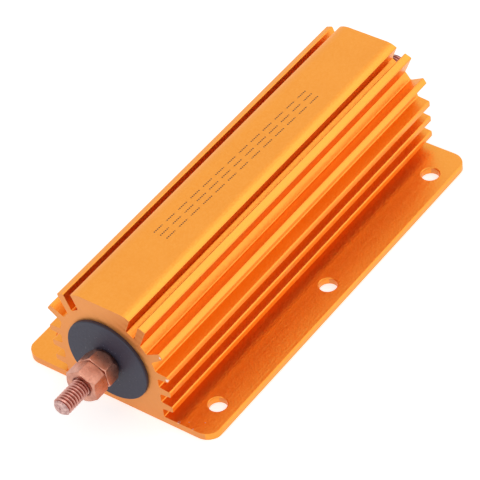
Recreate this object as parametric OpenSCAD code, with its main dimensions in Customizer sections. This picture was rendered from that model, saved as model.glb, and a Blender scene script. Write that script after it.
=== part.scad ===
// Aluminium housed wirewound power resistor with finned body and threaded stud terminals.
// X is the width, Y the length, Z up. The origin is the middle of the mounting face.

/* [Body] */
// Length of the extruded body
body_len = 92; // [60:1:140]
// Width over the mounting flanges
base_w = 47; // [40:0.5:64]
// Height from the mounting face to the top of the pad
height = 26.3; // [24:0.1:30]
// Thickness of the mounting flanges
flange_t = 1.7; // [1.4:0.1:3]
// Radius of the four flange corners
corner_r = 3.5; // [1:0.5:4.5]
// Broken edge along the flanges
edge_break = 0.25; // [0.1:0.05:0.4]

/* [Core] */
// Height of the bore axis above the mounting face
axis_z = 11.8; // [11:0.1:13]
// Radius of the round body that carries the fins
core_r = 11.9; // [10:0.1:13]
// Diameter of the bore that holds the element
bore_d = 17; // [14:0.5:19]

/* [Pad] */
// Width of the top pad over its edges
pad_w = 14.4; // [12:0.2:16]
// Width of the level middle of the pad
pad_flat_w = 9.4; // [6:0.2:11]
// Fall of the rounded pad shoulders to the edges
pad_fall = 0.75; // [0.3:0.05:1.2]
// Half width of the pad where it stands on the body
pad_foot = 5.85; // [5:0.05:6.2]

/* [Fins] */
// Width over the tips of the level fins
fin_span = 29; // [27:0.5:32]
// Height of the lowest fin, at its middle
low_fin_z = 4.9; // [4:0.1:5.5]
// Distance between the level fins
fin_pitch = 4.15; // [3.6:0.05:4.5]
// Fin thickness at the root
fin_root_t = 2; // [1.6:0.1:2.2]
// Fin thickness at the tip
fin_tip_t = 1.5; // [1:0.1:1.7]
// Length of the lower slanted fin
slant_len = 3.75; // [2.5:0.25:5]
// Length of the upper, steep fin
steep_len = 4.5; // [3:0.1:5]
// Thickness of the steep fin at its root
steep_root_t = 1.6; // [1.4:0.1:2]
// Thickness of the steep fin at its tip
steep_tip_t = 1.8; // [1.2:0.1:2]
// Radius at the fin roots
root_r = 0.35; // [0.2:0.05:0.45]

/* [Mounting holes] */
// Diameter of the flange holes
hole_d = 3.8; // [3:0.1:5.5]
// Broken edge of the hole rims
rim_break = 0.15; // [0.05:0.05:0.4]
// Distance from a row of holes to the flange's long edge
hole_edge = 4.5; // [3.5:0.1:5]
// Distance from the end holes to the body's ends
hole_inset = 8; // [5:0.5:14]

/* [Terminals] */
// Thread diameter of the studs
stud_d = 4; // [3:0.5:5]
// Pitch of that thread
thread_pitch = 0.7; // [0.5:0.05:0.8]
// Reach of the front stud past the body
front_reach = 15.4; // [13:0.1:25]
// Reach of the rear stud past the body
rear_reach = 10; // [8:0.5:25]
// Nuts: distance across the flats
nut_af = 7; // [6.5:0.1:9]
// Height of the inner nuts
inner_nut_h = 4.2; // [3:0.1:4.6]
// Height of the outer nut
outer_nut_h = 3.9; // [2.4:0.1:4.5]
// Diameter of the insulating washers
washer_d = 19.2; // [17:0.2:21]
// Thickness of the insulating washers
washer_t = 0.8; // [0.5:0.1:1.5]

/* [Element] */
// Diameter of the ceramic rod
rod_d = 10; // [7:0.5:11]
// Distance from the body's end to the rod's end
rod_inset = 12; // [9:0.5:16]
// Diameter of the resistance wire
wire_d = 0.9; // [0.6:0.1:1.2]
// Sheet thickness of the end caps
cap_t = 0.6; // [0.4:0.1:0.9]
// Length of a cap's skirt on the rod
cap_skirt = 5; // [3:0.5:8]
// Diameter of the stud's head, which is welded to the cap
head_d = 8; // [6:0.5:9]
// Thickness of the stud's head
head_t = 1.4; // [1:0.1:2]
// Thickness of the centring bushes
bush_t = 4; // [2:0.5:5]

/* [Fits] */
// Diametral gap between the studs' threads and what they pass through
stud_gap = 0.2; // [0.1:0.05:0.4]
// Diametral gap between the studs and the nuts
thread_gap = 0.1; // [0.05:0.05:0.3]
// Gap between a nut and the full diameter of the thread past it
free_gap = 0.2; // [0.1:0.05:0.5]
// Diametral gap between a bush and the bore
bush_gap = 0.1; // [0.05:0.05:0.3]
// Diametral gap between a cap and the rod
cap_gap = 0.1; // [0.05:0.05:0.2]
// Gap between the winding and a cap's skirt
winding_gap = 0.5; // [0.3:0.1:1.5]

/* [Hidden] */
$fn = 96;

cut = 1;              // how far a cutter runs past a face
bury = 1;             // how deep a fin's root sits in the body
bite = 0.002;         // how far a root fillet's arc dips under the faces that it joins
tip_r = 0.3;          // radius of the fin tips' corners
slant_foot = 27;      // where the slanted fin stands on the round body, in degrees above level
slant_tilt = 33;      // how far it leans up from level
steep_foot = 46;      // the same for the steep fin
steep_tilt = 68;
stud_chamfer = 0.7;   // at the studs' tips
nut_chamfer = 0.3;    // height of the chamfer on a nut's outer face
face_share = 0.49;    // radius of a nut's face, as a share of the distance across its flats
dome_h = 1.5;         // height of the long chamfer on an inner nut's inner face
dome_share = 0.43;    // radius of that face, as the same share
nut_clock = 32;       // turn of the outer nut's corners above level
inner_clock = 38;     // the same for the inner nuts
washer_edge = 0.15;   // broken edge of the insulating washers

hole_x = base_w / 2 - hole_edge;
hole_y = body_len / 2 - hole_inset;
rod_len = body_len - 2 * rod_inset;
cap_d = rod_d + cap_gap + 2 * cap_t;
winding_d = rod_d + 2 * wire_d;
winding_space = rod_len - 2 * (cap_skirt + winding_gap);
wire_pitch = 0.94 * wire_d;
turns = floor((winding_space - wire_d) / wire_pitch) + 1;
nut_ac = nut_af / cos(30);
shank_d = stud_d - 0.65 * thread_pitch;   // at half the thread's height, where stud and nut meet

// ---- the extruded section, drawn with the bore axis at its origin ----

function direction(a) = [cos(a), sin(a)];
function left_of(u) = [-u[1], u[0]];

// A root fillet's centre. The fillet touches a line through p along u, on the side n,
// and the body: its round part above the axis and its upright flank below it.
function round_centre(q, u) =
    let (along = q * u, short = q * q - pow(core_r + root_r, 2))
    q + (sqrt(along * along - short) - along) * u;
function flank_centre(q, u) = q + (core_r + root_r - q[0]) / u[0] * u;
function root_centre(p, u, n) =
    let (q = p + root_r * n)
    q[1] > 0 ? round_centre(q, u) : flank_centre(q, u);
function body_touch(c) = c[1] > 0 ? c * core_r / (core_r + root_r) : [core_r, c[1]];

// Fills the corner between the body and a line through p along u, on the side n
module root_fillet(p, u, n) {
    c = root_centre(p, u, n);
    corners = [p - bury * u, c - 2 * root_r * n, c, 2 * body_touch(c) - c];
    difference() {
        polygon(cross(u, n) > 0 ? corners : [for (i = [3 : -1 : 0]) corners[i]]);
        translate(c) circle(root_r + bite);
    }
}

// One fin with its root at p, leaning up by the angle tilt
module fin(p, tilt, len, root_t = fin_root_t, tip_t = fin_tip_t) {
    straight = len - tip_r;
    slope = (root_t - tip_t) / 2 / straight;
    taper = atan(slope);
    buried_t = root_t + 2 * bury * slope;
    translate(p) rotate(tilt) {
        polygon([[-bury, -buried_t / 2], [straight, -tip_t / 2],
            [straight, tip_t / 2], [-bury, buried_t / 2]]);
        translate([straight - tip_r, tip_r - tip_t / 2]) square([2 * tip_r, tip_t - 2 * tip_r]);
        for (side = [-1, 1]) translate([straight, side * (tip_t / 2 - tip_r)]) circle(tip_r);
    }
    for (side = [-1, 1]) {
        u = direction(tilt - side * taper);
        root_fillet(p + side * root_t / 2 * left_of(direction(tilt)), u, side * left_of(u));
    }
}

module level_fins() {
    for (i = [0 : 2]) {
        z = low_fin_z + i * fin_pitch - axis_z;
        fin([core_r - 0.1, z], 0, fin_span / 2 - core_r + 0.1);
    }
}

module slanted_fins() {
    fin(core_r * direction(slant_foot), slant_tilt, slant_len);
    fin(core_r * direction(steep_foot), steep_tilt, steep_len, steep_root_t, steep_tip_t);
}

// The top pad: a level middle, rounded shoulders and walls that lean in to their feet
module pad() {
    top = height - axis_z;
    shoulder_w = (pad_w - pad_flat_w) / 2;
    shoulder_r = (pow(shoulder_w, 2) + pow(pad_fall, 2)) / (2 * pad_fall);
    foot = [pad_foot, sqrt(pow(core_r, 2) - pow(pad_foot, 2))];
    edge = [pad_w / 2, top - pad_fall];
    wall = (edge - foot) / norm(edge - foot);
    low = foot - 2 * bury * wall;
    high = edge + 2 * bury * wall;
    intersection() {
        polygon([low, high, [-high[0], high[1]], [-low[0], low[1]]]);
        union() {
            translate([-pad_flat_w / 2, 0]) square([pad_flat_w, top]);
            for (side = [-1, 1]) translate([side * pad_flat_w / 2, top - shoulder_r]) circle(shoulder_r);
        }
    }
    for (side = [0, 1]) mirror([side, 0]) root_fillet(foot, wall, -left_of(wall));
}

module flanges() {
    half_w = base_w / 2;
    face_w = half_w - edge_break;
    side_z = flange_t - edge_break;
    translate([0, -axis_z]) polygon([[-face_w, 0], [face_w, 0], [half_w, edge_break], [half_w, side_z],
        [face_w, flange_t], [-face_w, flange_t], [-half_w, side_z], [-half_w, edge_break]]);
    for (side = [0, 1]) mirror([side, 0]) root_fillet([core_r, flange_t - axis_z], [1, 0], [0, 1]);
}

module section() {
    circle(core_r);
    translate([-core_r, flange_t / 2 - axis_z]) square([2 * core_r, axis_z - flange_t / 2]);
    pad();
    flanges();
    for (side = [0, 1]) mirror([side, 0]) {
        level_fins();
        slanted_fins();
    }
}

// Outline of the flanges seen from above
module plan() {
    square([base_w, body_len - 2 * corner_r], center = true);
    square([base_w - 2 * corner_r, body_len], center = true);
    for (x = [-1, 1], y = [-1, 1])
        translate([x * (base_w / 2 - corner_r), y * (body_len / 2 - corner_r)]) circle(corner_r);
}

module flange_hole() {
    translate([0, 0, -cut]) cylinder(h = flange_t + 2 * cut, d = hole_d);
    translate([0, 0, flange_t - rim_break])
        cylinder(h = 2 * rim_break, d1 = hole_d, d2 = hole_d + 4 * rim_break);
    translate([0, 0, -rim_break])
        cylinder(h = 2 * rim_break, d1 = hole_d + 4 * rim_break, d2 = hole_d);
}

module housing() {
    color("#F08A2C") difference() {
        intersection() {
            translate([0, body_len / 2, axis_z]) rotate([90, 0, 0]) linear_extrude(body_len) section();
            linear_extrude(height + cut) plan();
        }
        translate([0, body_len / 2 + cut, axis_z]) rotate([90, 0, 0])
            cylinder(h = body_len + 2 * cut, d = bore_d);
        for (x = [-1, 1], y = [-1 : 1])
            translate([x * hole_x, y * hole_y, 0]) flange_hole();
    }
}

// ---- what lies on the bore axis ----

// Puts its children on the bore axis with local Z out of the body and 0 at its end face
module at_end(rear = false) {
    mirror([0, rear ? 1 : 0, 0]) translate([0, -body_len / 2, axis_z]) rotate([90, 0, 0]) children();
}

// A disc on the axis from z1 to z2
module disc(z1, z2, d) {
    translate([0, 0, z1]) cylinder(h = z2 - z1, d = d);
}

module ceramic_rod() {
    color("#E9E4D6") at_end() disc(-rod_inset - rod_len, -rod_inset, rod_d);
}

// Close-wound turns on the rod, as one ring of touching coils
module resistance_winding() {
    first = -body_len / 2 - (turns - 1) * wire_pitch / 2;
    color("#8C8A86") at_end() rotate_extrude() for (i = [0 : turns - 1])
        translate([rod_d / 2 + wire_d / 2, first + i * wire_pitch]) circle(d = wire_d, $fn = 32);
}

module cap_envelope() {
    disc(-rod_inset - cap_skirt, -rod_inset + cap_t, cap_d);
}

module end_cap(rear) {
    color("#B9BCC0") at_end(rear) difference() {
        cap_envelope();
        disc(-rod_inset - cap_skirt - cut, -rod_inset, rod_d + cap_gap);
    }
}

module stud_head() {
    disc(-rod_inset + cap_t, -rod_inset + cap_t + head_t, head_d);
}

// A stud as thick as its thread's middle, with the full thread diameter past nuts of height nuts_h
module terminal_stud(rear, reach, nuts_h) {
    free_z = washer_t + nuts_h + free_gap;
    color("#C98A72") at_end(rear) {
        stud_head();
        disc(-rod_inset + cap_t, free_z, shank_d);
        disc(free_z, reach - stud_chamfer, stud_d);
        translate([0, 0, reach - stud_chamfer])
            cylinder(h = stud_chamfer, d1 = stud_d, d2 = stud_d - 2 * stud_chamfer);
    }
}

// Cement cast between the bushes, around everything that it buries
module cement_fill() {
    color("#D8D3C8") difference() {
        at_end() disc(bush_t - body_len, -bush_t, bore_d);
        at_end() {
            disc(-rod_inset - rod_len, -rod_inset, rod_d);
            disc(-(body_len + winding_space) / 2, -(body_len - winding_space) / 2, winding_d);
        }
        for (rear = [false, true]) at_end(rear) {
            cap_envelope();
            stud_head();
            disc(-rod_inset, cut, shank_d);
        }
    }
}

module centring_bush(rear) {
    color("#E4DCCB") at_end(rear) difference() {
        disc(-bush_t, 0, bore_d - bush_gap);
        disc(-bush_t - cut, cut, stud_d + stud_gap);
    }
}

module insulating_washer(rear) {
    color("#45454F") at_end(rear) difference() {
        union() {
            disc(0, washer_t - washer_edge, washer_d);
            translate([0, 0, washer_t - washer_edge])
                cylinder(h = washer_edge, d1 = washer_d, d2 = washer_d - 2 * washer_edge);
        }
        disc(-cut, washer_t + cut, stud_d + stud_gap);
    }
}

// A hexagon nut on the axis from z1, its outer corners chamfered; below, a chamfer of height inner_h
// leaves a face of radius inner_r
module nut(z1, h, clock, inner_h, inner_r) {
    mouth_d = stud_d + 0.9;
    mouth_h = 0.45;
    difference() {
        translate([0, 0, z1]) intersection() {
            rotate(clock) cylinder(h = h, d = nut_ac, $fn = 6);
            union() {
                cylinder(h = inner_h, r1 = inner_r, r2 = nut_ac / 2);
                disc(inner_h, h - nut_chamfer, nut_ac);
                translate([0, 0, h - nut_chamfer])
                    cylinder(h = nut_chamfer, r1 = nut_ac / 2, r2 = face_share * nut_af);
            }
        }
        disc(z1 - cut, z1 + h + cut, shank_d + thread_gap);
        translate([0, 0, z1 + h - mouth_h])
            cylinder(h = mouth_h, d1 = shank_d + thread_gap, d2 = mouth_d);
    }
}

module inner_nut(rear) {
    color("#B5705A") at_end(rear) nut(washer_t, inner_nut_h, inner_clock, dome_h, dome_share * nut_af);
}

module terminal_nut() {
    color("#C07A62") at_end()
        nut(washer_t + inner_nut_h, outer_nut_h, nut_clock, nut_chamfer, face_share * nut_af);
}

housing();
ceramic_rod();
resistance_winding();
end_cap(false);  // end_cap_front
end_cap(true);  // end_cap_rear
terminal_stud(false, front_reach, inner_nut_h + outer_nut_h);  // terminal_stud_front
terminal_stud(true, rear_reach, inner_nut_h);  // terminal_stud_rear
cement_fill();
centring_bush(false);  // centring_bush_front
centring_bush(true);  // centring_bush_rear
insulating_washer(false);  // insulating_washer_front
insulating_washer(true);  // insulating_washer_rear
inner_nut(false);  // inner_nut_front
inner_nut(true);  // inner_nut_rear
terminal_nut();  // terminal_nut_front
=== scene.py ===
import math

import bmesh
import bpy
from mathutils import Matrix, Vector


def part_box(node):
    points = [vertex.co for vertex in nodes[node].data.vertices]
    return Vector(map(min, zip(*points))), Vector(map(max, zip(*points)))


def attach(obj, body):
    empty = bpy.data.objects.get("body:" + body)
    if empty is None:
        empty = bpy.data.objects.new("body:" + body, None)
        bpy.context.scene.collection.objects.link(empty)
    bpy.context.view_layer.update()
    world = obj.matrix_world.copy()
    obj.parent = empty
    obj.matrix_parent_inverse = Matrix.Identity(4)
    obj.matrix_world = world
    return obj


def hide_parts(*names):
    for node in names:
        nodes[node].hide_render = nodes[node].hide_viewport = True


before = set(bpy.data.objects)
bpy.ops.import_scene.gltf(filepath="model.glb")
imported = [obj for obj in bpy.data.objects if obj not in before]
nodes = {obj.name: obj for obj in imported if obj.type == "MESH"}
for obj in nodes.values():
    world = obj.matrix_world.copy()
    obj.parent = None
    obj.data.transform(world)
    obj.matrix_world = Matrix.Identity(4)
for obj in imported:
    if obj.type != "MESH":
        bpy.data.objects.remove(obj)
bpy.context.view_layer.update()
mm = 0.001  # metres in a millimetre
tiny = 0.001 * mm  # what counts as the same place
print("frame loaded:", len(nodes), "nodes")

bodyLow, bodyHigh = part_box("housing")
boreLow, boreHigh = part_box("ceramic_rod")
axisZ = (boreLow.z + boreHigh.z) / 2  # height of the bore axis


def hexColour(text):
    # an sRGB hex value as a linear colour
    parts = [int(text[i:i + 2], 16) / 255 for i in (1, 3, 5)]
    linear = [c / 12.92 if c <= 0.04045 else ((c + 0.055) / 1.055) ** 2.4 for c in parts]
    return (*linear, 1)


def addNode(tree, kind, inputs=None, **settings):
    # adds a node: an input given as a socket is linked, a hex text is set as its colour, the rest as given
    node = tree.nodes.new("ShaderNode" + kind)
    for name, value in settings.items():
        setattr(node, name, value)
    for key, value in (inputs or {}).items():
        if isinstance(value, bpy.types.NodeSocket):
            tree.links.new(value, node.inputs[key])
        else:
            node.inputs[key].default_value = hexColour(value) if isinstance(value, str) else value
    return node


def newMaterial(name):
    # a material with its shader and the piece's own coordinates
    material = bpy.data.materials.new(name)
    material.use_nodes = True
    tree = material.node_tree
    place = addNode(tree, "TexCoord").outputs["Object"]
    return material, tree, tree.nodes["Principled BSDF"], place


def wear(piece, *materials):
    # puts the materials in the piece's slots
    piece.data.materials.clear()
    for material in materials:
        piece.data.materials.append(material)


def deselectAll():
    bpy.ops.object.select_all(action="DESELECT")


def activate(piece):
    deselectAll()
    piece.select_set(True)
    bpy.context.view_layer.objects.active = piece


def pick(piece, kind, test):
    # selects what passes the test, in edit mode; kind is VERT, EDGE or FACE
    bpy.ops.object.mode_set(mode="OBJECT")
    mesh = piece.data
    for group in (mesh.vertices, mesh.edges, mesh.polygons):
        group.foreach_set("select", [False] * len(group))
    if kind == "VERT":
        for vert in mesh.vertices:
            vert.select = test(vert.co)
    elif kind == "EDGE":
        for edge in mesh.edges:
            edge.select = all(test(mesh.vertices[v].co) for v in edge.vertices)
    else:
        for face in mesh.polygons:
            face.select = test(face)
    bpy.context.tool_settings.mesh_select_mode = (kind == "VERT", kind == "EDGE", kind == "FACE")
    bpy.ops.object.mode_set(mode="EDIT")


def objectMode():
    bpy.ops.object.mode_set(mode="OBJECT")


def applyAll(piece):
    # applies the piece's modifiers, in order
    activate(piece)
    for modifier in list(piece.modifiers):
        bpy.ops.object.modifier_apply(modifier=modifier.name)


def smooth(piece, angle):
    # rounds the shading over edges flatter than angle, with the large faces kept level
    activate(piece)
    bpy.ops.object.shade_smooth_by_angle(angle=math.radians(angle))
    weighted = piece.modifiers.new("level faces", "WEIGHTED_NORMAL")
    weighted.keep_sharp = True
    applyAll(piece)


def copyOfNode(nodeName, name):
    # a merged copy of a node, with its flat faces made whole
    piece = nodes[nodeName].copy()
    piece.data = nodes[nodeName].data.copy()
    piece.parent = None
    for key in list(piece.keys()):
        del piece[key]
    piece.name = name
    piece.data.name = name
    bpy.context.scene.collection.objects.link(piece)
    activate(piece)
    bpy.ops.object.mode_set(mode="EDIT")
    bpy.ops.mesh.select_all(action="SELECT")
    bpy.ops.mesh.customdata_custom_splitnormals_clear()
    bpy.ops.mesh.remove_doubles(threshold=tiny)
    bpy.ops.mesh.dissolve_limited(angle_limit=math.radians(0.5))
    objectMode()
    return piece


def breakEdges(piece, width, limit):
    # a small rounding along every edge sharper than limit
    bevel = piece.modifiers.new("broken edges", "BEVEL")
    bevel.width = width
    bevel.segments = 2
    bevel.limit_method = "ANGLE"
    bevel.angle_limit = math.radians(limit)
    bevel.use_clamp_overlap = False
    bevel.miter_outer = "MITER_ARC"
    applyAll(piece)


def closeOpenEdges(piece):
    # merges doubles, caps every open end and turns all faces outwards
    activate(piece)
    bpy.ops.object.mode_set(mode="EDIT")
    bpy.ops.mesh.select_all(action="SELECT")
    bpy.ops.mesh.remove_doubles(threshold=tiny)
    bpy.ops.mesh.select_all(action="DESELECT")
    bpy.context.tool_settings.mesh_select_mode = (False, True, False)
    bpy.ops.mesh.select_non_manifold(extend=False, use_wire=False, use_multi_face=False,
                                     use_non_contiguous=False, use_verts=False)
    if any(edge.select for edge in bmesh.from_edit_mesh(piece.data).edges):
        bpy.ops.mesh.edge_face_add()
    bpy.ops.mesh.select_all(action="SELECT")
    bpy.ops.mesh.normals_make_consistent(inside=False)
    objectMode()


def ringEnds(piece):
    # gives each flat end one clean ring of faces, from the bore to the rim
    for side in (-1, 1):
        reach = max(side * vert.co.y for vert in piece.data.vertices) - tiny
        pick(piece, "FACE", lambda face: side * face.normal.y > 0.99 and side * face.center.y > reach)
        bpy.ops.mesh.delete(type="FACE")
        pick(piece, "EDGE", lambda co: side * co.y > reach)
        bpy.ops.mesh.bridge_edge_loops()
        objectMode()


def standFor(piece, nodeName):
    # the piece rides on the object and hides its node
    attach(piece, "root")
    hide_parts(nodeName)


inkMarks = {
    "turn": -2.1,          # how far the row leans on the pad, in degrees
    "centre": (-0.45, 0),  # its middle on the pad; this and the lengths to dotBlur are in mm
    "dashPitch": 3.9,
    "dashLength": 2.8,
    "dashes": 13,
    "rowPitch": 1.6,
    "rows": 3,
    "dotPitch": 0.5,
    "dotRadius": 0.16,
    "dotBlur": 0.04,
    "depth": 0.3 * mm,     # below the pad's top, where the ink ends
    "colour": "#4E2018",
}

nicks = [  # places where the oxide is knocked off: centre in mm, radius in mm
    ((14.3, -45.9, 13.1), 0.42),
    ((13.5, -46, 18.9), 0.3),
    ((15.3, -45.7, 1.7), 0.4),
    ((18.7, -45.8, 1.7), 0.24),
    ((17.0, -44.7, 1.7), 0.15),
    ((19.8, -43.2, 1.7), 0.15),
]


def addInk(tree, place):
    # rows of plain dotted dashes on the pad, as a 0 to 1 mask
    turned = addNode(tree, "Mapping", {
        "Vector": place,
        "Location": (-inkMarks["centre"][0], -inkMarks["centre"][1], 0),
        "Rotation": (0, 0, math.radians(-inkMarks["turn"])),
        "Scale": (1 / mm, 1 / mm, 1 / mm),
    }).outputs[0]
    whole = 1e6  # half of a pitch so long that it leaves its axis as it is

    def offCentre(values, limits):
        # distance to the nearest multiple of each pitch, given as half pitches
        wrapped = addNode(tree, "VectorMath", {0: values, 1: limits, 2: [-limit for limit in limits]},
                          operation="WRAP")
        return addNode(tree, "VectorMath", {0: wrapped.outputs[0]}, operation="ABSOLUTE").outputs[0]

    dotLimits = (inkMarks["rowPitch"] / 2, inkMarks["dotPitch"] / 2, whole)
    dotPlace = addNode(tree, "VectorMath", {0: offCentre(turned, dotLimits), 1: (1, 1, 0)},
                       operation="MULTIPLY")
    away = addNode(tree, "VectorMath", {0: dotPlace.outputs[0]}, operation="LENGTH")
    mask = addNode(tree, "MapRange", {
        "Value": away.outputs["Value"],
        "From Min": inkMarks["dotRadius"] + inkMarks["dotBlur"],
        "From Max": inkMarks["dotRadius"] - inkMarks["dotBlur"],
    }).outputs[0]
    dashLimits = (whole, inkMarks["dashPitch"] / 2, whole)
    dashPlace = addNode(tree, "SeparateXYZ", {0: offCentre(turned, dashLimits)})
    apart = addNode(tree, "VectorMath", {0: turned}, operation="ABSOLUTE")
    reach = addNode(tree, "SeparateXYZ", {0: apart.outputs[0]})
    height = addNode(tree, "SeparateXYZ", {0: place})
    for value, limit, test in (
            (dashPlace.outputs[1], inkMarks["dashLength"] / 2, "LESS_THAN"),
            (reach.outputs[0], inkMarks["rows"] * inkMarks["rowPitch"] / 2, "LESS_THAN"),
            (reach.outputs[1], inkMarks["dashes"] * inkMarks["dashPitch"] / 2, "LESS_THAN"),
            (height.outputs[2], bodyHigh.z - inkMarks["depth"], "GREATER_THAN")):
        inside = addNode(tree, "Math", {0: value, 1: limit}, operation=test)
        mask = addNode(tree, "Math", {0: mask, 1: inside.outputs[0]}, operation="MULTIPLY").outputs[0]
    return mask


def addNicks(tree, place, ragged):
    # small bare spots with ragged rims, as a 0 to 1 mask
    mask = 0.0
    for centre, radius in nicks:
        away = addNode(tree, "VectorMath", {0: place, 1: [c * mm for c in centre]}, operation="DISTANCE")
        uneven = addNode(tree, "Math", {0: ragged, 1: 0.9 * radius * mm, 2: away.outputs["Value"]},
                         operation="MULTIPLY_ADD")
        spot = addNode(tree, "MapRange", {
            "Value": uneven.outputs[0],
            "From Min": 1.35 * radius * mm,
            "From Max": 1.15 * radius * mm,
        }).outputs[0]
        mask = addNode(tree, "Math", {0: mask, 1: spot}, operation="MAXIMUM").outputs[0]
    return mask


def addRadius(tree, place):
    # distance from the bore's axis, in metres
    centred = addNode(tree, "VectorMath", {0: place, 1: (0, 0, -axisZ)}, operation="ADD")
    flat = addNode(tree, "VectorMath", {0: centred.outputs[0], 1: (1, 0, 1)}, operation="MULTIPLY")
    return addNode(tree, "VectorMath", {0: flat.outputs[0]}, operation="LENGTH").outputs["Value"]


def makeAnodised():
    # Extruded aluminium, blasted matt, anodised and dyed orange-gold. The clear dyed oxide over metal
    # gives a metal's reflections in one strong colour, which deepens to red where walls mirror each other.
    material, tree, shader, place = newMaterial("blastedOrangeAnodisedAluminium")
    patches = addNode(tree, "TexNoise", {"Vector": place, "Scale": 1 / (14 * mm), "Detail": 3.0})
    grain = addNode(tree, "TexNoise", {"Vector": place, "Scale": 1 / (0.45 * mm), "Detail": 2.0})
    drawn = addNode(tree, "Mapping", {"Vector": place,
                                      "Scale": (1 / (0.5 * mm), 1 / (60 * mm), 1 / (0.5 * mm))})
    lines = addNode(tree, "TexNoise", {"Vector": drawn.outputs[0], "Scale": 1.0, "Detail": 2.0})
    dye = addNode(tree, "Mix", {0: patches.outputs[0], 6: "#F0983A", 7: "#F9A342"},
                  data_type="RGBA").outputs[2]
    speck = addNode(tree, "MapRange", {"Value": grain.outputs[0], "From Min": 0.35, "From Max": 0.7,
                                       "To Min": 0.0, "To Max": 0.2})
    dye = addNode(tree, "Mix", {0: speck.outputs[0], 6: dye, 7: "#FFBD62"}, data_type="RGBA").outputs[2]
    bare = addNicks(tree, place, grain.outputs[0])
    dye = addNode(tree, "Mix", {0: bare, 6: dye, 7: "#F2D9CF"}, data_type="RGBA").outputs[2]
    ink = addInk(tree, place)
    dye = addNode(tree, "Mix", {0: ink, 6: dye, 7: inkMarks["colour"]}, data_type="RGBA").outputs[2]
    tree.links.new(dye, shader.inputs["Base Color"])
    metal = addNode(tree, "MapRange", {"Value": ink, "To Min": 1.0, "To Max": 0.2})
    tree.links.new(metal.outputs[0], shader.inputs["Metallic"])
    gloss = addNode(tree, "MapRange", {"Value": grain.outputs[0], "From Min": 0.3, "From Max": 0.7,
                                       "To Min": 0.3, "To Max": 0.4})
    tree.links.new(gloss.outputs[0], shader.inputs["Roughness"])
    relief = addNode(tree, "Math", {0: lines.outputs[0], 1: 0.5, 2: grain.outputs[0]},
                     operation="MULTIPLY_ADD")
    bump = addNode(tree, "Bump", {"Height": relief.outputs[0], "Strength": 0.7, "Distance": 0.06 * mm})
    tree.links.new(bump.outputs[0], shader.inputs["Normal"])
    return material


def makeSawnEnd():
    # The same anodised aluminium where a circular saw cut it to length: long faint arcs, and a duller,
    # paler orange than the blasted skin.
    material, tree, shader, place = newMaterial("sawnOrangeAnodisedAluminium")
    centred = addNode(tree, "Mapping", {"Vector": place, "Location": (0.06, 0, 0.1)})
    arcs = addNode(tree, "TexWave", {"Vector": centred.outputs[0], "Scale": 1 / (5.2 * mm),
                                     "Distortion": 1.2, "Detail": 2.0, "Detail Scale": 2.0},
                   wave_type="RINGS", rings_direction="Y")
    patches = addNode(tree, "TexNoise", {"Vector": place, "Scale": 1 / (5 * mm), "Detail": 4.0})
    grain = addNode(tree, "TexNoise", {"Vector": place, "Scale": 1 / (0.4 * mm), "Detail": 2.0})
    dye = addNode(tree, "Mix", {0: patches.outputs[0], 6: "#E08F48", 7: "#EA9C54"},
                  data_type="RGBA").outputs[2]
    faint = addNode(tree, "Math", {0: arcs.outputs["Fac"], 1: 0.15}, operation="MULTIPLY")
    dye = addNode(tree, "Mix", {0: faint.outputs[0], 6: dye, 7: "#F0B078"}, data_type="RGBA").outputs[2]
    bare = addNicks(tree, place, grain.outputs[0])
    dye = addNode(tree, "Mix", {0: bare, 6: dye, 7: "#F2D9CF"}, data_type="RGBA").outputs[2]
    tree.links.new(dye, shader.inputs["Base Color"])
    shader.inputs["Metallic"].default_value = 0.85
    gloss = addNode(tree, "MapRange", {"Value": arcs.outputs["Fac"], "To Min": 0.42, "To Max": 0.52})
    tree.links.new(gloss.outputs[0], shader.inputs["Roughness"])
    relief = addNode(tree, "Math", {0: grain.outputs[0], 1: 0.6, 2: arcs.outputs["Fac"]},
                     operation="MULTIPLY_ADD")
    bump = addNode(tree, "Bump", {"Height": relief.outputs[0], "Strength": 0.3, "Distance": 0.03 * mm})
    tree.links.new(bump.outputs[0], shader.inputs["Normal"])
    return material


copperFinishes = {  # groove: radii where the painted shade towards the axis is full and where it ends
    "copperPlatedTip": {
        "bright": "#D6B2AA", "dull": "#A87F7C", "grooveShade": "#9A6A66",
        "groove": (0.2 * mm, 0.4 * mm), "patch": 0.6 * mm,
    },
    "copperPlatedThread": {
        "bright": "#D69F93", "dull": "#BD8679", "grooveShade": "#A0584C",
        "groove": (1.62 * mm, 1.8 * mm), "patch": 1.2 * mm,
    },
    "copperPlatedNut": {
        "bright": "#D69A84", "dull": "#C08470", "grooveShade": "#7A362E",
        "groove": (1.9 * mm, 2.3 * mm), "patch": 1.6 * mm,
    },
}


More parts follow.
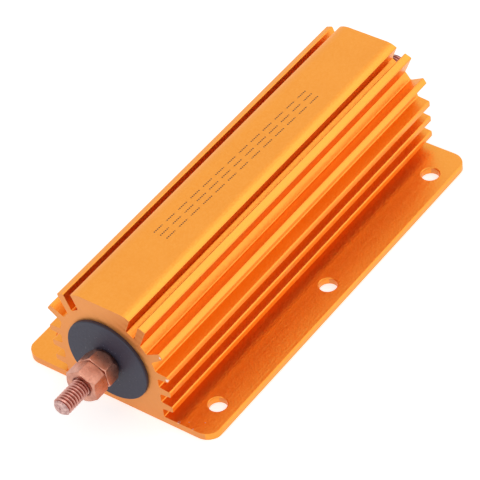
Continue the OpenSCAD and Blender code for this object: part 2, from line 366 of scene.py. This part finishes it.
def makeCoppered(name):
    # Steel with a thin copper plating from a barrel: pinkish, satin, duller in patches, with painted shade
    # that darkens it towards the axis, in the thread's grooves, inside the nut's bore and in the middle of
    # the tip's end.
    finish = copperFinishes[name]
    material, tree, shader, place = newMaterial(name)
    patches = addNode(tree, "TexNoise", {"Vector": place, "Scale": 1 / finish["patch"], "Detail": 4.0})
    grain = addNode(tree, "TexNoise", {"Vector": place, "Scale": 1 / (0.3 * mm), "Detail": 2.0})
    tint = addNode(tree, "MapRange", {"Value": patches.outputs[0], "From Min": 0.35, "From Max": 0.65})
    colour = addNode(tree, "Mix", {0: tint.outputs[0], 6: finish["dull"], 7: finish["bright"]},
                     data_type="RGBA").outputs[2]
    # painted shade: darker towards the axis, in the thread's groove roots and inside the nut's bore
    depth = addNode(tree, "MapRange", {"Value": addRadius(tree, place), "From Min": finish["groove"][1],
                                       "From Max": finish["groove"][0]})
    colour = addNode(tree, "Mix", {0: depth.outputs[0], 6: colour, 7: finish["grooveShade"]},
                     data_type="RGBA").outputs[2]
    tree.links.new(colour, shader.inputs["Base Color"])
    shader.inputs["Metallic"].default_value = 1
    gloss = addNode(tree, "MapRange", {"Value": grain.outputs[0], "From Min": 0.3, "From Max": 0.7,
                                       "To Min": 0.26, "To Max": 0.4})
    tree.links.new(gloss.outputs[0], shader.inputs["Roughness"])
    bump = addNode(tree, "Bump", {"Height": grain.outputs[0], "Strength": 0.25, "Distance": 0.02 * mm})
    tree.links.new(bump.outputs[0], shader.inputs["Normal"])
    return material


def makeFibre():
    # Pressed fibre board, punched: dark grey with a bluish cast, matt, with a few pale fibres in its
    # surface near the stud, where the nut scuffed it.
    material, tree, shader, place = newMaterial("darkPressedFibre")
    felt = addNode(tree, "TexNoise", {"Vector": place, "Scale": 1 / (0.7 * mm), "Detail": 5.0})
    fibres = addNode(tree, "TexVoronoi", {"Vector": place, "Scale": 1 / (0.8 * mm)})
    colour = addNode(tree, "Mix", {0: felt.outputs[0], 6: "#26273A", 7: "#3D3E50"},
                     data_type="RGBA").outputs[2]
    scuffed = addNode(tree, "MapRange", {"Value": addRadius(tree, place), "From Min": 8 * mm,
                                         "From Max": 4 * mm, "To Min": 0.06, "To Max": 0.7})
    speck = addNode(tree, "MapRange", {"Value": fibres.outputs["Distance"], "From Min": 0.17,
                                       "From Max": 0.07, "To Max": scuffed.outputs[0]})
    colour = addNode(tree, "Mix", {0: speck.outputs[0], 6: colour, 7: "#8A8B99"},
                     data_type="RGBA").outputs[2]
    tree.links.new(colour, shader.inputs["Base Color"])
    shader.inputs["Roughness"].default_value = 0.55
    bump = addNode(tree, "Bump", {"Height": felt.outputs[0], "Strength": 0.3, "Distance": 0.04 * mm})
    tree.links.new(bump.outputs[0], shader.inputs["Normal"])
    return material


def makeHidden(name, light, dark, grainSize, roughness, metallic):
    # plain finishes of the pieces inside: two tones and a grain of the given size
    material, tree, shader, place = newMaterial(name)
    grain = addNode(tree, "TexNoise", {"Vector": place, "Scale": 1 / grainSize, "Detail": 3.0})
    colour = addNode(tree, "Mix", {0: grain.outputs[0], 6: dark, 7: light}, data_type="RGBA").outputs[2]
    tree.links.new(colour, shader.inputs["Base Color"])
    shader.inputs["Roughness"].default_value = roughness
    shader.inputs["Metallic"].default_value = metallic
    bump = addNode(tree, "Bump", {"Height": grain.outputs[0], "Strength": 0.3,
                                  "Distance": 0.1 * grainSize})
    tree.links.new(bump.outputs[0], shader.inputs["Normal"])
    return material


anodised = makeAnodised()
sawnEnd = makeSawnEnd()
tipCopper = makeCoppered("copperPlatedTip")
studCopper = makeCoppered("copperPlatedThread")
nutCopper = makeCoppered("copperPlatedNut")
fibre = makeFibre()
steatite = makeHidden("unglazedWhiteSteatite", "#F0ECE2", "#E2DCCE", 0.6 * mm, 0.7, 0)
creamCeramic = makeHidden("unglazedCreamCeramic", "#E8DFCC", "#D8CDB6", 0.6 * mm, 0.7, 0)
resistanceAlloy = makeHidden("drawnResistanceAlloy", "#A6A39E", "#87847F", 0.3 * mm, 0.4, 1)
pressedSteel = makeHidden("pressedPlainSteel", "#C4C6C8", "#AEB0B3", 0.5 * mm, 0.35, 1)
cement = makeHidden("castGreyCement", "#DAD5CB", "#BFB9AC", 0.8 * mm, 0.9, 0)
print("materials made")


finnedHousing = {
    "edge": 0.09 * mm,  # rounding of the cut and drilled edges
    "edgeLimit": 40,    # sharpest turn, in degrees, that stays unbroken
    "smoothAngle": 30,
}

housing = copyOfNode("housing", "finned_housing")
breakEdges(housing, finnedHousing["edge"], finnedHousing["edgeLimit"])
smooth(housing, finnedHousing["smoothAngle"])
wear(housing, anodised, sawnEnd)
for face in housing.data.polygons:
    face.material_index = 1 if abs(face.normal.y) > 0.9 else 0
standFor(housing, "housing")
print("housing:", len(housing.data.polygons), "faces")


stud = {
    "crestRadius": 1.98 * mm,
    "grooveDepth": 0.37 * mm,
    "pitch": 0.7 * mm,
    "parts": 16,              # parts of a pitch that the corners below count in
    "crest": (7, 11),
    "corners": (0, 2, 7, 11, 16),
    "steps": 40,              # per turn
    "threadStart": 0.9 * mm,  # past the body's end
    "tipChamfer": 0.62 * mm,
    "shankRadius": 1.77 * mm,
    "shankOverlap": 0.2 * mm,  # how far the shank runs into the thread
    "headRadius": 4 * mm,
    "headThickness": 1.4 * mm,
    "smoothAngle": 25,
}


def addRod(radius, start, end, sides):
    # a round bar on the Y axis
    bpy.ops.mesh.primitive_cylinder_add(vertices=sides, radius=radius, depth=abs(end - start),
                                        location=(0, (start + end) / 2, 0), rotation=(math.pi / 2, 0, 0))
    bpy.ops.object.transform_apply(location=True, rotation=True)
    return bpy.context.object


def makeThread(name, start, tip):
    # a threaded rod on the Y axis from start to tip, its tip chamfered
    pitch = stud["pitch"]
    rootRadius = stud["crestRadius"] - stud["grooveDepth"]
    low = tip - 2 * pitch  # the thread is wound longer than it has to be and cut to length
    turns = math.ceil((start - tip) / pitch) + 3
    bpy.ops.mesh.primitive_plane_add(size=pitch, location=(rootRadius, low + pitch / 2, 0))
    profile = bpy.context.object
    profile.name = name
    bpy.ops.object.transform_apply(location=True)
    pick(profile, "VERT", lambda co: co.x > rootRadius)
    bpy.ops.mesh.delete(type="VERT")
    bpy.ops.mesh.select_all(action="SELECT")
    bpy.ops.transform.translate(value=(pitch / 2, 0, 0))
    bpy.ops.mesh.subdivide(number_cuts=stud["parts"] - 1)
    step = pitch / stud["parts"]
    pick(profile, "VERT", lambda co: round((co.y - low) / step) not in stud["corners"])
    bpy.ops.mesh.dissolve_verts()
    pick(profile, "VERT", lambda co: round((co.y - low) / step) in stud["crest"])
    bpy.ops.transform.translate(value=(stud["grooveDepth"], 0, 0))
    objectMode()
    screw = profile.modifiers.new("turns", "SCREW")
    screw.axis = "Y"
    screw.screw_offset = pitch
    screw.iterations = turns
    screw.steps = stud["steps"]
    screw.render_steps = stud["steps"]
    screw.use_merge_vertices = True
    screw.merge_threshold = tiny
    applyAll(profile)
    closeOpenEdges(profile)
    bpy.ops.object.mode_set(mode="EDIT")
    bpy.ops.mesh.quads_convert_to_tris()
    objectMode()
    blank = addRod(stud["crestRadius"] + 0.02 * mm, start, tip, 64)  # a little over the crests
    pick(blank, "EDGE", lambda co: co.y < tip + tiny)
    bpy.ops.mesh.bevel(offset=stud["tipChamfer"], offset_type="OFFSET", segments=1)
    objectMode()
    activate(profile)
    cutter = profile.modifiers.new("blank", "BOOLEAN")
    cutter.operation = "INTERSECT"
    cutter.solver = "EXACT"
    cutter.object = blank
    applyAll(profile)
    bpy.data.objects.remove(blank)
    closeOpenEdges(profile)
    return profile


def makeStud(name, nodeName, tip, rear):
    # the thread, the plain shank in the bush and the head on the end cap; tip is the reach from the middle
    threadFrom = bodyHigh.y + stud["threadStart"]
    thread = makeThread(name, -threadFrom, -tip)
    headY = -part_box("end_cap_front")[0].y
    rod = addRod(stud["shankRadius"], -threadFrom - stud["shankOverlap"], -headY + stud["headThickness"], 48)
    head = addRod(stud["headRadius"], -headY - stud["headThickness"], -headY, 64)
    deselectAll()
    for part in (rod, head, thread):
        part.select_set(True)
    bpy.context.view_layer.objects.active = thread
    bpy.ops.object.join()
    piece = bpy.context.object
    if rear:
        piece.rotation_euler = (0, 0, math.pi)
    piece.location = (0, 0, axisZ)
    bpy.ops.object.transform_apply(location=True, rotation=True)
    bpy.ops.object.shade_smooth_by_angle(angle=math.radians(stud["smoothAngle"]))
    wear(piece, studCopper, tipCopper)
    tipFrom = tip - 0.6 * stud["tipChamfer"]
    for face in piece.data.polygons:
        isTip = abs(face.center.y) > tipFrom and abs(face.normal.y) > 0.5
        face.material_index = 1 if isTip else 0
    standFor(piece, nodeName)
    print(name + ":", len(piece.data.polygons), "faces")


frontTip = -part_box("terminal_stud_front")[0].y
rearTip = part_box("terminal_stud_rear")[1].y
makeStud("threaded_stud_front", "terminal_stud_front", frontTip, False)
makeStud("threaded_stud_rear", "terminal_stud_rear", rearTip, True)


hardware = {
    "nutEdge": 0.12 * mm,
    "nutEdgeLimit": 25,      # in degrees, as the two below
    "washerEdge": 0.05 * mm,
    "washerEdgeLimit": 40,
    "smoothAngle": 30,
    "nuts": {
        "inner_nut_front": "hex_nut_inner_front",
        "terminal_nut_front": "hex_nut_outer_front",
        "inner_nut_rear": "hex_nut_inner_rear",
    },
    "washers": {
        "insulating_washer_front": "fibre_washer_front",
        "insulating_washer_rear": "fibre_washer_rear",
    },
}

for nodeName, name in hardware["nuts"].items():
    nut = copyOfNode(nodeName, name)
    ringEnds(nut)
    breakEdges(nut, hardware["nutEdge"], hardware["nutEdgeLimit"])
    smooth(nut, hardware["smoothAngle"])
    wear(nut, nutCopper)
    standFor(nut, nodeName)

for nodeName, name in hardware["washers"].items():
    washer = copyOfNode(nodeName, name)
    ringEnds(washer)
    breakEdges(washer, hardware["washerEdge"], hardware["washerEdgeLimit"])
    smooth(washer, hardware["smoothAngle"])
    wear(washer, fibre)
    standFor(washer, nodeName)
print("nuts and washers made")


winding = {
    "wire": 0.9 * mm,
    "pitch": 0.846 * mm,
    "sides": 8,
    "steps": 36,  # per turn
    "smoothAngle": 50,
}


def makeWinding():
    # one wire wound close along the rod, as a helix
    low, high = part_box("resistance_winding")
    radius = (high.x - low.x) / 2 - winding["wire"] / 2
    turns = int((high.y - low.y - winding["wire"]) / winding["pitch"])
    bpy.ops.mesh.primitive_circle_add(vertices=winding["sides"], radius=winding["wire"] / 2,
                                      location=(radius, low.y + winding["wire"] / 2, 0))
    wire = bpy.context.object
    wire.name = "wound_wire"
    bpy.ops.object.transform_apply(location=True)
    screw = wire.modifiers.new("turns", "SCREW")
    screw.axis = "Y"
    screw.screw_offset = winding["pitch"]
    screw.iterations = turns
    screw.steps = winding["steps"]
    screw.render_steps = winding["steps"]
    applyAll(wire)
    closeOpenEdges(wire)
    wire.location = (0, 0, axisZ)
    bpy.ops.object.transform_apply(location=True)
    bpy.ops.object.shade_smooth_by_angle(angle=math.radians(winding["smoothAngle"]))
    wear(wire, resistanceAlloy)
    standFor(wire, "resistance_winding")
    print("winding:", turns, "turns")


makeWinding()

for nodeName, material in (("ceramic_rod", steatite), ("end_cap_front", pressedSteel),
                           ("end_cap_rear", pressedSteel), ("cement_fill", cement),
                           ("centring_bush_front", creamCeramic), ("centring_bush_rear", creamCeramic)):
    wear(nodes[nodeName], material)


def addSeen(tree):
    # 1 where the camera, a shiny surface or glass looks, 0 for the light that falls on the object
    rays = addNode(tree, "LightPath").outputs
    seen = addNode(tree, "Math", {0: rays["Is Camera Ray"], 1: rays["Is Glossy Ray"]}, operation="MAXIMUM")
    seen = addNode(tree, "Math", {0: seen.outputs[0], 1: rays["Is Transmission Ray"]}, operation="MAXIMUM")
    return seen.outputs[0]


stage = {
    "floorSize": 6,
    "floorTone": "#F2F2F2",
    "floorGlow": 0.6,  # what the floor shows of itself, so that it reads as white
    "lampAim": (0, 0, 0.01),
    "ambient": 0.55,   # light of the room on the object, where what is seen of the room is 1
}

bpy.ops.mesh.primitive_plane_add(size=stage["floorSize"], location=(0, 0, -0.02 * mm))
floor = bpy.context.object
floor.name = "studio_floor"
floorMaterial, floorTree, floorShader = newMaterial("whiteStudioPaper")[:3]
floorTree.nodes.remove(floorShader)
paper = addNode(floorTree, "BsdfDiffuse", {"Color": stage["floorTone"]})
glow = addNode(floorTree, "Emission", {"Color": (1, 1, 1, 1), "Strength": stage["floorGlow"]})
lit = addNode(floorTree, "AddShader", {0: paper.outputs[0], 1: glow.outputs[0]})
both = addNode(floorTree, "MixShader", {0: addSeen(floorTree), 1: paper.outputs[0], 2: lit.outputs[0]})
floorTree.links.new(both.outputs[0], floorTree.nodes["Material Output"].inputs[0])
wear(floor, floorMaterial)

world = bpy.data.worlds.new("white studio")
world.use_nodes = True
sky = world.node_tree
bpy.context.scene.world = world
strength = addNode(sky, "MapRange", {"Value": addSeen(sky), "To Min": stage["ambient"], "To Max": 1.0})
sky.links.new(strength.outputs[0], sky.nodes["Background"].inputs["Strength"])
sky.nodes["Background"].inputs["Color"].default_value = (1, 1, 1, 1)

lamps = [  # all aimed at lampAim: name, place in metres, size, power in watts
    ("key_softbox", (0.16, 0.44, 0.72), 0.45, 0.55),
    ("side_softbox", (0.62, 0.42, 0.15), 0.35, 0.3),
    ("front_fill", (-0.1, -0.92, 0.12), 0.3, 0.7),
    ("edge_light", (-0.1, -0.72, 0.56), 0.14, 0.3),
]


def aimAt(target, place):
    # the turn that points a lamp at the target
    return (Vector(target) - Vector(place)).to_track_quat("-Z", "Y").to_euler()


for name, place, size, power in lamps:
    bpy.ops.object.light_add(type="AREA", location=place, rotation=aimAt(stage["lampAim"], place))
    lamp = bpy.context.object
    lamp.name = name
    lamp.data.size = size
    lamp.data.energy = power

view = {
    "place": (0.2672, -0.3065, 0.3865),
    "aim": (0.0028, -0.0063, 0.0118),
    "roll": -8.16,  # in degrees
    "lens": 204.5,  # in mm
}

forward = (Vector(view["aim"]) - Vector(view["place"])).normalized()
level = forward.cross(Vector((0, 0, 1))).normalized()
upright = level.cross(forward)
roll = math.radians(view["roll"])
right = math.cos(roll) * level + math.sin(roll) * upright
up = right.cross(forward)
turn = Matrix((right, up, -forward)).transposed()
bpy.ops.object.camera_add(location=view["place"], rotation=turn.to_euler())
camera = bpy.context.object
camera.name = "studio_camera"
camera.data.lens = view["lens"]
camera.data.sensor_width = 36
bpy.context.scene.camera = camera
bpy.context.scene.view_settings.view_transform = "Standard"
print("stage ready")
